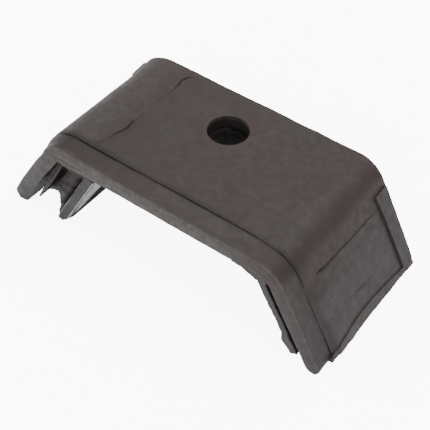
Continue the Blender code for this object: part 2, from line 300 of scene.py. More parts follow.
def border(count_a, count_b):
    """Grid indices once round the outline of a count_a by count_b grid."""
    a, b = np.arange(count_a), np.arange(count_b)
    low = np.stack([a[:-1], np.zeros(count_a - 1, int)], axis=1)
    right = np.stack([np.full(count_b - 1, count_a - 1), b[:-1]], axis=1)
    high = np.stack([a[:0:-1], np.full(count_a - 1, count_b - 1)], axis=1)
    left = np.stack([np.zeros(count_b - 1, int), b[:0:-1]], axis=1)
    return np.concatenate([low, right, high, left])


def strips(rows):
    """Quads between neighbouring closed rows of vertex numbers."""
    quads = []
    for upper, lower in zip(rows[:-1], rows[1:]):
        quads.append(np.stack([upper, lower, np.roll(lower, -1), np.roll(upper, -1)], axis=1))
    return np.concatenate(quads)


def lined_hole(hole, loop_a, loop_b, top, bottom):
    """Rows of points that line a hole, each with its wear and painted light: a pale band on
    the rounded rims painted as a glint, and painted shade down the bore and on the lower rim.

    A row is the circle of radius r + out + bore(theta, w, inside) round the centre. The
    first rows blend from the window's border to the circle. The next turn over the edge,
    where out = e (1 - sin phi) and the row sinks by e (1 - cos phi). Then the rows run
    down the bore, with w from 0 to 1, and the lower edge mirrors the upper.
    """
    theta = np.arctan2(loop_b - hole.centre_b, loop_a - hole.centre_a)
    over_edge = [(share, hole.edge, 0.0, 0.0) for share in (0.3, 0.55, 0.75, 0.9)]
    # painted glint: the middle of the upper rim's rounding is given a pale value of 0.3
    for phi in np.linspace(0.0, math.pi / 2, 6):
        out, sunk = hole.edge * (1 - math.sin(phi)), hole.edge * (1 - math.cos(phi))
        over_edge.append((1.0, out, sunk, 0.3 if 0.2 < phi < 1.0 else 0.0))
    stages = [(0.0, share, out, sunk, rubbed_and_lit, 0.0) for share, out, sunk, rubbed_and_lit in over_edge]
    # painted shade: every row down the bore is darkened by 1.25
    for w in np.linspace(0.0, 1.0, 19)[1:-1]:
        stages.append((w, 1.0, 0.0, hole.edge, 0.0, 1.25))
    # the lower rim: a weaker painted glint and a painted shade of 0.25
    for share, out, sunk, rubbed_and_lit in over_edge[::-1]:
        stages.append((1.0, share, out, sunk, 0.3 * rubbed_and_lit, 0.25))
    lining = []
    for w, share, out, sunk, rubbed_and_lit, soiled_and_shaded in stages:
        reach = hole.radius + out + hole.bore(theta, w, 0.0 < w < 1.0)
        row_a = loop_a * (1 - share) + (hole.centre_a + reach * np.cos(theta)) * share
        row_b = loop_b * (1 - share) + (hole.centre_b + reach * np.sin(theta)) * share
        ceiling, ground = top(row_a, row_b) + sunk, bottom(row_a, row_b) - sunk
        row = np.stack([row_a, row_b, ceiling * (1 - w) + ground * w], 1)
        lining.append((row, rubbed_and_lit, soiled_and_shaded))
    return lining


def level(depth):
    """Sheet at one depth all over."""
    def sheet(a, b):
        """The depth, at every point."""
        return np.full_like(a, depth)
    return sheet


def closed_slab(a, b, top, bottom, outline=None, round_a=0.0, round_b=0.0, wall_rows=2,
                wall=None, hole=None, dirt_and_shade=None, wall_marks=None):
    """Closed solid between two depths over a grid of a by b stations.

    outline(a, b) moves the grid to torn edges. top and bottom give the depth of each
    sheet. Both sheets round over at the border, by r (1 - sqrt(1 - k k)) where k goes from
    0 to 1 across the last radius. Rows of wall, moved sideways by wall(a, b, w), join them
    at the border, with w from 0 on top to 1 below. A hole cuts a window of twice its
    window value in both sheets, and lined_hole fills that up to its bore. dirt_and_shade
    gives the top sheet its dirt and painted shade, and its values below zero are rubbing;
    the bottom sheet gets a painted shade of 0.25, and the walls 0.1 unless wall_marks gives
    theirs. Returns points (a, b, d), quads, and wear_and_sheen and grime_and_shade values.
    """
    grid_a, grid_b = np.meshgrid(a, b, indexing="ij")
    moved_a, moved_b = outline(grid_a, grid_b) if outline else (grid_a, grid_b)
    k_a = rounding(np.minimum(grid_a - a[0], a[-1] - grid_a), round_a)
    k_b = rounding(np.minimum(grid_b - b[0], b[-1] - grid_b), round_b)
    drop = round_a * (1.0 - np.sqrt(1.0 - k_a**2)) + round_b * (1.0 - np.sqrt(1.0 - k_b**2))
    high, low = top(moved_a, moved_b), bottom(moved_a, moved_b)
    middle = (high + low) / 2
    upper = np.minimum(high + drop, middle - 1e-5)
    lower = np.maximum(low - drop, middle + 1e-5)
    count = grid_a.size
    numbers = np.arange(count).reshape(grid_a.shape)
    flat_a, flat_b = moved_a.ravel(), moved_b.ravel()
    points = [np.stack([flat_a, flat_b, upper.ravel()], 1)]
    points += [np.stack([flat_a, flat_b, lower.ravel()], 1)]
    edge = np.clip(np.maximum(k_a, k_b), 0.0, 1.0).ravel()
    soil_and_shade = dirt_and_shade(flat_a, flat_b) if dirt_and_shade else np.zeros(count)
    # painted shade: the bottom sheet is darkened by 0.25, as under the piece; the top takes dirt
    # and painted shade from dirt_and_shade
    wear_and_sheen, grime_and_shade = [np.maximum(edge, -soil_and_shade), edge * 0.6], [soil_and_shade, np.full(count, 0.25)]

    kept = np.ones((len(a) - 1, len(b) - 1), bool)
    if hole:
        cut = np.array([-hole.window, hole.window])
        i0, i1 = np.searchsorted(a, hole.centre_a + cut)
        j0, j1 = np.searchsorted(b, hole.centre_b + cut)
        kept[i0:i1, j0:j1] = False
    quads = np.stack(
        [numbers[:-1, :-1][kept], numbers[1:, :-1][kept], numbers[1:, 1:][kept],
         numbers[:-1, 1:][kept]], 1)
    faces = [quads, quads[:, ::-1] + count]

    ring = border(len(a), len(b))
    ring_numbers = numbers[ring[:, 0], ring[:, 1]]
    rows = [ring_numbers]
    total = 2 * count
    for step in range(1, wall_rows):
        w = step / wall_rows
        depth = upper.ravel()[ring_numbers] * (1 - w) + lower.ravel()[ring_numbers] * w
        ring_a, ring_b = flat_a[ring_numbers], flat_b[ring_numbers]
        if wall:
            ring_a, ring_b = wall(ring_a, ring_b, w)
        points.append(np.stack([ring_a, ring_b, depth], 1))
        # painted shade: walls are darkened by 0.1 unless wall_marks gives their own painted light
        # and shade
        rubbed_and_lit, soiled_and_shaded = wall_marks(ring_a, ring_b, w) if wall_marks else (0.0, 0.1)
        wear_and_sheen.append(np.full(len(ring), 0.0) + rubbed_and_lit)
        grime_and_shade.append(np.full(len(ring), 0.0) + soiled_and_shaded)
        rows.append(total + np.arange(len(ring)))
        total += len(ring)
    rows.append(ring_numbers + count)
    faces.append(strips(rows))

    if hole:
        loop = border(i1 - i0 + 1, j1 - j0 + 1) + [i0, j0]
        loop_numbers = numbers[loop[:, 0], loop[:, 1]]
        rows = [loop_numbers]
        lining = lined_hole(hole, flat_a[loop_numbers], flat_b[loop_numbers], top, bottom)
        for row, rubbed_and_lit, soiled_and_shaded in lining:
            points.append(row)
            wear_and_sheen.append(np.full(len(loop), rubbed_and_lit))
            grime_and_shade.append(np.full(len(loop), soiled_and_shaded))
            rows.append(total + np.arange(len(loop)))
            total += len(loop)
        rows.append(loop_numbers + count)
        faces.append(strips(rows)[:, ::-1])
    return (np.concatenate(points), np.concatenate(faces), np.concatenate(wear_and_sheen),
            np.concatenate(grime_and_shade))


def add_piece(name, material, replaced, place, solid):
    """Mesh object from a closed slab, its faces turned outwards by its signed volume."""
    points, faces, wear_and_sheen, grime_and_shade = solid
    places = place(points[:, 0], points[:, 1], points[:, 2])
    corner = places[faces]
    first = np.einsum("ij,ij->i", corner[:, 0], np.cross(corner[:, 1], corner[:, 2]))
    second = np.einsum("ij,ij->i", corner[:, 0], np.cross(corner[:, 2], corner[:, 3]))
    if (first + second).sum() < 0.0:
        faces = faces[:, ::-1]
    mesh = bpy.data.meshes.new(name)
    mesh.from_pydata(places.tolist(), [], faces.tolist())
    for label, values in (("wear_and_sheen", wear_and_sheen), ("dirt_and_shade", grime_and_shade)):
        attribute = mesh.attributes.new(label, "FLOAT", "POINT")
        attribute.data.foreach_set("value", np.clip(values, 0.0, 1.0).astype(np.float32))
    mesh.shade_smooth()
    mesh.set_sharp_from_angle(angle=SHARP)
    mesh.materials.append(bpy.data.materials[material])
    piece = bpy.data.objects.new(name, mesh)
    bpy.context.scene.collection.objects.link(piece)
    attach(piece, "root")
    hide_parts(*replaced)


# ---------------------------------------------------------------- materials


def new_group(name, inputs, outputs):
    """Empty node group with typed inputs and outputs, and its two ends."""
    group = bpy.data.node_groups.new(name, "ShaderNodeTree")
    for label, kind, default in inputs:
        socket = group.interface.new_socket(label, in_out="INPUT", socket_type=kind)
        if default is not None:
            socket.default_value = default
    for label, kind in outputs:
        group.interface.new_socket(label, in_out="OUTPUT", socket_type=kind)
    start = group.nodes.new("NodeGroupInput")
    end = group.nodes.new("NodeGroupOutput")
    return group, start, end


class Wiring:
    """Adds nodes to a tree and joins them up. Its methods give back an output socket."""

    def __init__(self, tree):
        self.nodes, self.links = tree.nodes, tree.links

    def new(self, kind):
        """New shader node of a kind."""
        return self.nodes.new("ShaderNode" + kind)

    def feed(self, socket, value):
        """Give a socket a number, or link it to another socket."""
        if isinstance(value, (int, float)):
            socket.default_value = value
        else:
            self.links.new(value, socket)

    def tone(self, rgb):
        """Plain colour."""
        node = self.new("RGB")
        node.outputs[0].default_value = (*rgb, 1.0)
        return node.outputs[0]

    def noise(self, vector, scale, detail, roughness=0.55, stretch=(1.0, 1.0, 1.0), turn=0.0):
        """Noise texture on a vector that is stretched along its axes and turned round Z."""
        mapping = self.new("Mapping")
        mapping.inputs["Scale"].default_value = stretch
        mapping.inputs["Rotation"].default_value = (0.0, 0.0, turn)
        texture = self.new("TexNoise")
        for label, number in (("Scale", scale), ("Detail", detail), ("Roughness", roughness)):
            texture.inputs[label].default_value = number
        self.feed(mapping.inputs["Vector"], vector)
        self.feed(texture.inputs["Vector"], mapping.outputs["Vector"])
        return texture.outputs["Fac"]

    def ranged(self, value, low, high, out_low=0.0, out_high=1.0):
        """Value mapped smoothly from low..high to out_low..out_high."""
        node = self.new("MapRange")
        node.interpolation_type = "SMOOTHSTEP"
        for label, number in (("From Min", low), ("From Max", high), ("To Min", out_low),
                              ("To Max", out_high)):
            node.inputs[label].default_value = number
        self.feed(node.inputs["Value"], value)
        return node.outputs["Result"]

    def maths(self, operation, first, second):
        """Sum or product of two sockets or numbers."""
        node = self.new("Math")
        node.operation = operation
        self.feed(node.inputs[0], first)
        self.feed(node.inputs[1], second)
        return node.outputs["Value"]

    def mix(self, factor, first, second, mode="MIX"):
        """Mix of two colours by a factor."""
        node = self.new("Mix")
        node.data_type = "RGBA"
        node.blend_type = mode
        self.feed(node.inputs["Factor"], factor)
        self.feed(node.inputs[6], first)
        self.feed(node.inputs[7], second)
        return node.outputs[2]


def mottle_group():
    """Aged rubber: two tones in slow patches, drawn-out flow streaks, dust and fine grain."""
    group, start, end = new_group(
        "Aged Rubber",
        [("Vector", "NodeSocketVector", None), ("First", "NodeSocketColor", None),
         ("Second", "NodeSocketColor", None), ("Bloom", "NodeSocketFloat", 0.3),
         ("Grain", "NodeSocketFloat", 1.0)],
        [("Color", "NodeSocketColor"), ("Roughness", "NodeSocketFloat"),
         ("Height", "NodeSocketFloat")],
    )
    wire = Wiring(group)
    vector = start.outputs["Vector"]
    patches = wire.ranged(wire.noise(vector, 30.0, 2.0), 0.40, 0.62)
    tone = wire.mix(patches, start.outputs["First"], start.outputs["Second"])
    streaks = wire.noise(vector, 60.0, 4.0, 0.6, (1.0, 0.16, 1.0), 0.5)
    streak_shade = wire.ranged(streaks, 0.30, 0.72, 0.93, 1.08)
    clouds = wire.ranged(wire.noise(vector, 70.0, 3.0), 0.30, 0.72, 0.95, 1.05)
    speckle = wire.ranged(wire.noise(vector, 1300.0, 2.0), 0.3, 0.75, 0.95, 1.06)
    shade = wire.maths("MULTIPLY", streak_shade, clouds)
    shade = wire.maths("MULTIPLY", shade, speckle)
    combine = wire.new("CombineXYZ")
    for socket in combine.inputs:
        wire.feed(socket, shade)
    tone = wire.mix(1.0, tone, combine.outputs["Vector"], "MULTIPLY")
    dust = wire.ranged(wire.noise(vector, 140.0, 6.0, 0.7), 0.50, 0.78)
    dust = wire.maths("MULTIPLY", dust, start.outputs["Bloom"])
    wire.feed(end.inputs["Color"], wire.mix(dust, tone, wire.tone(DUST)))
    rough = wire.ranged(wire.noise(vector, 220.0, 4.0), 0.3, 0.7, 0.50, 0.64)
    wire.feed(end.inputs["Roughness"], rough)
    pores = wire.noise(vector, 900.0, 5.0, 0.65)
    lumps = wire.noise(vector, 160.0, 3.0)
    height = wire.maths("MULTIPLY", pores, start.outputs["Grain"])
    lumps = wire.maths("MULTIPLY", lumps, 0.8)
    drawn = wire.maths("MULTIPLY", streaks, 0.6)
    height = wire.maths("ADD", height, lumps)
    wire.feed(end.inputs["Height"], wire.maths("ADD", height, drawn))


def wear_sheen_and_shade_group():
    """Wear and painted highlights turn the colour pale in broken patches, and dirt and painted
    shade darken it.
    """
    group, start, end = new_group(
        "Wear Sheen Dirt And Shade",
        [("Vector", "NodeSocketVector", None), ("Color", "NodeSocketColor", None),
         ("Wear And Sheen", "NodeSocketFloat", 0.0), ("Dirt And Shade", "NodeSocketFloat", 0.0),
         ("Worn And Lit", "NodeSocketColor", None), ("Soil And Shade", "NodeSocketColor", None)],
        [("Color", "NodeSocketColor")],
    )
    wire = Wiring(group)
    broken = wire.noise(start.outputs["Vector"], 420.0, 4.0, 0.7)
    broken = wire.ranged(broken, 0.38, 0.66, 0.25, 0.85)
    worn_and_lit = wire.maths("MULTIPLY", start.outputs["Wear And Sheen"], broken)
    tone = wire.mix(worn_and_lit, start.outputs["Color"], start.outputs["Worn And Lit"])
    tone = wire.mix(start.outputs["Dirt And Shade"], tone, start.outputs["Soil And Shade"])
    wire.feed(end.inputs["Color"], tone)


def placed_group(wire, name, colours, numbers=()):
    """A node group placed in a material, with its colours and numbers set."""
    node = wire.new("Group")
    node.node_tree = bpy.data.node_groups[name]
    for label, rgb in colours:
        node.inputs[label].default_value = (*rgb, 1.0)
    for label, number in numbers:
        node.inputs[label].default_value = number
    return node


def rubber(name, first, second, worn_and_lit, dirt_and_shade, bloom=0.3, grain=1.0, gloss=0.22, leg_tone_and_shade=None):
    """Rubber material: the aged-rubber group, then wear, dirt and painted light and shade from the
    mesh's values.

    leg_tone_and_shade is the tone that the colour turns to low down on the legs: the grey of
    the panel's legs, and on the bead a tone painted to even out the floor's bounce light.
    """
    material = bpy.data.materials.new(name)
    material.use_nodes = True
    wire = Wiring(material.node_tree)
    shader = wire.nodes["Principled BSDF"]
    place = wire.new("TexCoord").outputs["Object"]
    aged = placed_group(wire, "Aged Rubber", [("First", first), ("Second", second)],
                        [("Bloom", bloom), ("Grain", grain)])
    wire.feed(aged.inputs["Vector"], place)
    tone = aged.outputs["Color"]
    if leg_tone_and_shade:
        split = wire.new("SeparateXYZ")
        wire.feed(split.inputs["Vector"], place)
        lower = wire.ranged(split.outputs["Z"], TOP * 0.82, TOP * 0.45)
        tone = wire.mix(lower, tone, wire.mix(0.65, tone, wire.tone(leg_tone_and_shade)))
    marks = placed_group(wire, "Wear Sheen Dirt And Shade", [("Worn And Lit", worn_and_lit), ("Soil And Shade", dirt_and_shade)])
    wire.feed(marks.inputs["Vector"], place)
    wire.feed(marks.inputs["Color"], tone)
    for label, layer in (("Wear And Sheen", "wear_and_sheen"), ("Dirt And Shade", "dirt_and_shade")):
        attribute = wire.new("Attribute")
        attribute.attribute_name = layer
        wire.feed(marks.inputs[label], attribute.outputs["Fac"])
    wire.feed(shader.inputs["Base Color"], marks.outputs["Color"])
    wire.feed(shader.inputs["Roughness"], aged.outputs["Roughness"])
    shader.inputs["Specular IOR Level"].default_value = gloss
    relief = wire.new("Bump")
    relief.inputs["Strength"].default_value = 0.25
    relief.inputs["Distance"].default_value = 0.0002
    wire.feed(relief.inputs["Height"], aged.outputs["Height"])
    wire.feed(shader.inputs["Normal"], relief.outputs["Normal"])


class SADDLE_OT_materials(bpy.types.Operator):
    """Build the two shader groups and the rubber materials."""

    bl_idname = "saddle.materials"
    bl_label = "Rubber materials"

    def execute(self, context):
        tones = context.scene.saddle_colours
        mottle_group()
        wear_sheen_and_shade_group()
        common = (tones.worn_and_lit, tones.dirt_and_shade)
        rubber("aged_panel", tones.brown, tones.green, *common, bloom=0.12, leg_tone_and_shade=tones.grey)
        # the bead's front is painted paler where it is lit, through its rubbed_and_lit colour
        rubber("aged_bead", tones.bead, tones.brown, tones.rubbed_and_lit, tones.dirt_and_shade, bloom=0.20,
               leg_tone_and_shade=tones.foot)
        rubber("rough_flash", tones.flash, tones.bead, *common, bloom=0.22, grain=1.5)
        rubber("aged_flap", tones.inner, tones.inner, *common, bloom=0.20, gloss=0.04)
        # painted highlight and shade on the rib's inner side
        rubber("rib_sheen_and_shade", tones.inner, tones.inner, tones.rib, tones.dirt_and_shade, bloom=0.3, gloss=0.02)
        # painted shade: the bore pad's near-black tones stand for the shadow in the bolt hole
        rubber("bore_painted_shade", tones.bore, tones.dirt_and_shade, *common, bloom=0.0, gloss=0.1)
        return {"FINISHED"}


# ---------------------------------------------------------------- laps and outlines


def left_lap(y):
    """Wandering line on the top where the left ply ends."""
    line = curve(y, (-0.0327, -0.0507), (-0.0190, -0.0468), (-0.0112, -0.0449),
                 (-0.0052, -0.0458), (0.0188, -0.0458), (0.0255, -0.0451), (0.0318, -0.0453),
                 (0.0348, -0.0462), (0.0385, -0.0457), (0.0418, -0.0428), (0.0446, -0.0418))
    return line + 0.00012 * torn(y, 0.0021, 21)


def left_crease(y):
    """Depth of the crease along the left lap: sharp at both ends, nearly closed between."""
    return curve(y, (-0.0327, 0.00020), (-0.0230, 0.00030), (-0.0150, 0.00062),
                 (-0.0075, 0.00062), (-0.0030, 0.00026), (0.0080, 0.00016), (0.0180, 0.00026),
                 (0.0270, 0.00034), (0.0330, 0.00062), (0.0400, 0.00066), (0.0432, 0.00004))


def right_lap(section, y):
    """Line across the right leg where the top ply ends."""
    line = curve(y, (-0.0327, 0.0165), (-0.0217, 0.0179), (-0.0152, 0.0188),
                 (-0.0018, 0.0190), (0.0072, 0.0194), (0.0446, 0.0195))
    return section.leg_u(0.0) + line + 0.00006 * torn(y, 0.0030, 22)


def right_crease(y):
    """Depth of the crease along the right lap: it closes before the bead."""
    return curve(y, (-0.0232, 0.0), (-0.0205, 0.00080), (-0.0020, 0.00066), (0.0100, 0.00042),
                 (0.0240, 0.00028), (0.0320, 0.00010), (0.0400, 0.0))


def right_bulge(section, u, y):
    """The right leg stands off the bead, more towards its foot, and comes back behind it."""
    off = curve(section.down(u), (0.0180, 0.0), (0.0230, 0.0005), (0.0300, 0.0012),
                (0.0400, 0.0013), (0.0480, 0.0021), (0.0560, 0.0023), (0.0640, 0.0018))
    off *= 1.0 - smooth(PANEL_FRONT, PANEL_FRONT + 0.034, y)
    off *= 0.35 + 0.65 * smooth(PANEL_FRONT, PANEL_FRONT + 0.0040, y)
    return np.where(u > 0.0, off, 0.0)


def scratch_line(section, y, down):
    """Scratch across the right leg, slightly aslant: a line at a distance down the leg."""
    return section.leg_u(down) + (y + 0.0073) * 0.076


def scratch_reach(y, inset=0.0):
    """1 along the scratches' length, fading out at both ends."""
    return smooth(-0.0095, -0.0070, y - inset) * smooth(0.0140, 0.0090, y + inset)


def skin(section, u, y):
    """Outer surface of the panel, with its creases, scratches and rolled front edge."""
    depth = ripple(u, y) - right_bulge(section, u, y)
    off_left = u - left_lap(y)
    depth += left_crease(y) * bell(off_left, 0.00042)
    depth += 0.00016 * bell(off_left - 0.0012, 0.0026) * smooth(0.0100, -0.0200, y)
    depth -= 0.00014 * bell(off_left + 0.0022, 0.0022)
    off_right = u - right_lap(section, y)
    depth += right_crease(y) * bell(off_right, 0.00035)
    depth -= 0.00012 * bell(off_right - 0.0012, 0.0016) * smooth(-0.0280, -0.0180, y)
    for down, inset, strength in ((0.0441, 0.0, 0.00026), (0.0449, 0.0015, 0.00020)):
        line = scratch_line(section, y, down)
        depth += strength * bell(u - line, 0.00022) * scratch_reach(y, inset)
    return depth


def seam_shift(u):
    """How far behind its nominal line the bead's seam runs, along the top."""
    return (0.0003 + 0.0008 * smooth(-0.050, 0.045, u)) * smooth(0.066, 0.050, u)


def crease_shade_and_dirt(section, u, y):
    """Painted shade in the creases, beside the left lap, in the bead's groove and beside the
    rear strips; darker patches on the right leg and the top, darker lines along the
    scratches, and a paler band on the left bend.
    """
    # painted shade in the two laps' creases
    dirt_and_shade = 1.6e3 * left_crease(y) * bell(u - left_lap(y), 0.00055)
    dirt_and_shade += 1.7e3 * right_crease(y) * bell(u - right_lap(section, y), 0.00050)
    # painted shade in the groove at the bead's seam, weaker down the right leg
    seam = 0.70 + 0.20 * wander(u, 0.009, 23) + 0.45 * smooth(-0.030, -0.055, u)
    seam *= 1.0 - 0.75 * smooth(0.006, 0.022, section.down(u)) * (u > 0.0)
    dirt_and_shade += 1.25 * seam * bell(y - BEAD_REAR - seam_shift(u) - 0.0002, 0.0021)
    # painted shade beside the left lap, towards the front
    beside_lap = u - left_lap(y) - 0.0010
    dirt_and_shade += 0.45 * bell(beside_lap, 0.0026) * smooth(0.0040, -0.0160, y)
    dirt_and_shade -= 0.48 * bell(u + 0.0640, 0.0120)
    dirt_and_shade += 0.14 * bell(u - section.leg_u(0.011), 0.012) * (1.0 + 0.6 * lattice(u, y, 0.008, 24))
    cloud_u, cloud_y = u - section.leg_u(-0.012), y - 0.018
    dirt_and_shade += 0.22 * bell(np.hypot(cloud_u, cloud_y), 0.011)
    dirt_and_shade += 0.30 * bell(np.hypot(u - section.leg_u(0.026), y + 0.010), 0.006)
    # painted shadow along the rear strips' raised inner edge
    beside_strip = 0.0338 + 0.0014 * smooth(0.014, 0.060, section.down(u))
    dirt_and_shade += 0.9 * bell(y - beside_strip, 0.00045) * smooth(0.0130, 0.0150, section.down(u))
    band = scratch_line(section, y, SCRATCHES)
    dirt_and_shade += 0.32 * bell(u - band, 0.0008) * scratch_reach(y)
    return dirt_and_shade


def rear_edge(u, y):
    """Uneven rear edge: the last millimetres of the grid wander by a few tenths."""
    band = 0.006
    offset = 0.00170 - 0.00060 * smooth(0.056, 0.072, u)
    offset += 0.00022 * wander(u, 0.011, 31)
    offset += 0.00008 * torn(u, 0.0017, 32)
    return smooth(0.0, 1.0, (y - REAR + band) / band) * offset


def lip_line(section, y):
    """Inner line of the right leg's lip, where the cover ply ends."""
    line = curve(y, (-0.0327, 0.0576), (-0.0240, 0.0560), (-0.0100, 0.0552), (0.0053, 0.0554),
                 (0.0147, 0.0562), (0.0246, 0.0572), (0.0324, 0.0583), (0.0446, 0.0590))
    return section.leg_u(0.0) + line


def ply_solid(section, low, high, first, second, fine=(), hole=None):
    """Cover ply from the bead's seam to the rear edge, between the lines first and second.

    Its grid runs from low to high, and is stretched from first(y) to second(y).
    """
    edge = 0.0007
    a = stations(low, high, 0.0010, 0.0, [(low, 0.0015), (high, 0.0015), *fine])
    b = stations(BEAD_REAR + 0.00005, REAR, 0.0010, edge)

    def inner(u, y):
        """One ply below the smooth surface, bulging as the skin does."""
        return np.full_like(u, section.ply) - right_bulge(section, u, y)

    def outline(u, y):
        """u is stretched from first(y) to second(y), and both ends of y wander."""
        share = (u - low) / (high - low)
        front = seam_shift(u) * smooth(BEAD_REAR + 0.0050, BEAD_REAR, y)
        return first(y) * (1 - share) + second(y) * share, y + rear_edge(u, y) + front

    return closed_slab(a, b, partial(skin, section), inner, outline, 0.0, edge, 2, hole=hole,
                       dirt_and_shade=partial(crease_shade_and_dirt, section))


class SADDLE_OT_covers(bpy.types.Operator):
    """Three cover plies, with wandering laps, creases and scratches."""

    bl_idname = "saddle.covers"
    bl_label = "Cover plies"

    def execute(self, context):
        section = Section(context.scene.saddle_sizes)
        lap_mid = float(left_lap(np.array([0.0]))[0])
        lap_leg = float(right_lap(section, np.array([0.0]))[0])
        lip_left, lip_right = section.left + 0.0050, section.right - 0.0050
        scratches = section.leg_u(SCRATCHES)

        def lip_above(y):
            """Straight line where the left leg's lip begins."""
            return np.full_like(y, lip_left)

        def plain(theta, w, inside):
            """Nothing is added to the circle."""
            return np.zeros_like(theta)

        lap_below, lip_below = partial(right_lap, section), partial(lip_line, section)
        hole = Hole(section.hole_x, HOLE_Y, section.hole_radius, 0.0160, 0.0007, plain)
        left = ply_solid(section, lip_left, lap_mid, lip_above, left_lap)
        top = ply_solid(section, lap_mid, lap_leg, left_lap, lap_below, (), hole)
        right = ply_solid(section, lap_leg, lip_right, lap_below, lip_below,
                          [(scratches, 0.0022)])
        for word, slot, solid in (("left", "panel_rubber", left), ("top", "panel_rubber", top),
                                  ("right", "leg_rubber", right)):
            add_piece(word + "_cover", "aged_panel", [word + "_cover_ply"],
                      section.place, solid)
        return {"FINISHED"}


# ---------------------------------------------------------------- carcass and bead


class SADDLE_OT_carcass(bpy.types.Operator):
    """Carcass under the plies: both faces, the two feet and the bolt hole's bore."""

    bl_idname = "saddle.carcass"
    bl_label = "Carcass"

    def execute(self, context):
        section = Section(context.scene.saddle_sizes)
        a = stations(section.left, section.right, 0.0014, 0.0006)
        b = stations(BEAD_REAR - 0.0009, REAR, 0.0014, 0.0005)
        gap = 0.0001

        def outer(u, y):
            """One ply and a small gap down, bulging with the right leg."""
            return section.ply + gap - right_bulge(section, u, y)

        def inner(u, y):
            """The wall's thickness, less two fifths of the bulge, with a coarse ripple."""
            return section.wall - 0.4 * right_bulge(section, u, y) + ripple(u + 0.3, y) * 1.5

        def bore(theta, w, inside):
            """Fine rings: a sine of the depth that leans with the angle."""
            rings = 0.00003 * np.sin(40.0 * w + 2.0 * np.sin(theta)) if inside else 0.0
            return rings * np.ones_like(theta)

        def outline(u, y):
            """Only the rear edge wanders."""
            return u, y + rear_edge(u, y)

        hole = Hole(section.hole_x, HOLE_Y, section.hole_radius, 0.0165, 0.0003, bore)
        solid = closed_slab(a, b, outer, inner, outline, 0.0006, 0.0005, 4, hole=hole)
        add_piece("carcass", "rough_flash", ["saddle_body"], section.place,
                  solid)
        return {"FINISHED"}


def under_bead(section, u):
    """Depth of the bead's lower face: thicker by the left bend, thinnest past the hole."""
    return curve(u, (section.left, 0.0100), (-0.0880, 0.0092), (-0.0700, 0.0096),
                 (-0.0600, 0.0114), (-0.0455, 0.0108), (-0.0288, 0.0100), (-0.0028, 0.0098),
                 (0.0390, 0.0095), (0.0520, 0.0090), (0.0700, 0.0092), (section.right, 0.0088))


class SADDLE_OT_bead(bpy.types.Operator):
    """Front bead with half-round ends, a worn edge and a mould line on its front."""

    bl_idname = "saddle.bead"
    bl_label = "Front bead"

    def execute(self, context):
        section = Section(context.scene.saddle_sizes)
        left, right = section.left - 0.0012, section.right - 0.0005
        half = 0.0042
        a = stations(left, right, 0.0010, half, [(0.0453, 0.0010), (0.0506, 0.0012)])
        rear = BEAD_REAR + 0.0002
        b = stations(FRONT, rear, 0.0009, 0.0007, [(rear - 0.0012, 0.0010)])

        def outer(u, y):
            """Nearly level: ripples, and a bell-shaped hollow 5 mm behind the front."""
            sunk = 0.0002 + ripple(u, y) + 0.00010 * lattice(u, y, 0.009, 41)
            return sunk + 0.00018 * bell(y - FRONT - 0.0050, 0.0030)

        def inner(u, y):
            """The lower face, with torn flash in two steps before the right bend."""
            flash = smooth(0.0450, 0.0457, u) * smooth(0.0514, 0.0498, u)
            flash *= 0.0006 + 0.0006 * smooth(0.0478, 0.0483, u) + 0.0003 * torn(u, 0.0011, 44)
            return under_bead(section, u) + 0.00012 * lattice(u, y, 0.004, 42) + flash

        def wall(u, y, w):
            """The front swells by half a sine, and a narrow bell grooves it near the bends."""
            front = y < FRONT + 0.0005
            near_bend = bell(u + 0.062, 0.016) + 0.6 * bell(u - 0.064, 0.010)
            swell = 0.00026 * math.sin(math.pi * w) - 0.00035 * near_bend * bell(w - 0.62, 0.06)
            waver = 0.00008 * lattice(u, u * 0.0 + w * 0.004, 0.005, 43)
            return u, np.where(front, y - swell + waver, y)

        def dirt_and_shade(u, y):
            """Painted shade in a bell along the seam's groove, and darker bells over both bends."""
            groove = 0.75 * bell(y - BEAD_REAR - seam_shift(u), 0.0015)
            groove *= smooth(right - 0.020, right - 0.045, u)
            back = smooth(FRONT, FRONT + 0.004, y)
            return groove + back * (0.34 * bell(u + 0.066, 0.013) + 0.38 * bell(u + 0.045, 0.02)
                                    + 0.32 * bell(u - 0.066, 0.010))

        def front_light_and_wear(u, y, w):
            """Wear and painted light: the front is a little rubbed all along, and painted paler
            most of all between the bends, where it is lit.
            """
            lit = smooth(-0.058, -0.040, u) * smooth(0.058, 0.030, u)
            return np.where(y < FRONT + 0.0010, 0.14 + 0.92 * lit, 0.0), 0.05

        def outline(u, y):
            """The rear edge leaves an uneven gap, which closes on the right leg."""
            gap = 0.00022 + 0.00012 * wander(u, 0.006, 45)
            gap *= 1.0 + 0.9 * bell(u + 0.060, 0.020) - smooth(0.066, 0.084, np.abs(u))
            return u, y + (seam_shift(u) - gap) * smooth(BEAD_REAR - 0.0050, BEAD_REAR, y)

        solid = closed_slab(a, b, outer, inner, outline, half, 0.0007, 14, wall, dirt_and_shade=dirt_and_shade,
                            wall_marks=front_light_and_wear)
        add_piece("front_bead", "aged_bead", ["front_rim"], section.place, solid)
        return {"FINISHED"}


# ---------------------------------------------------------------- strips and lips


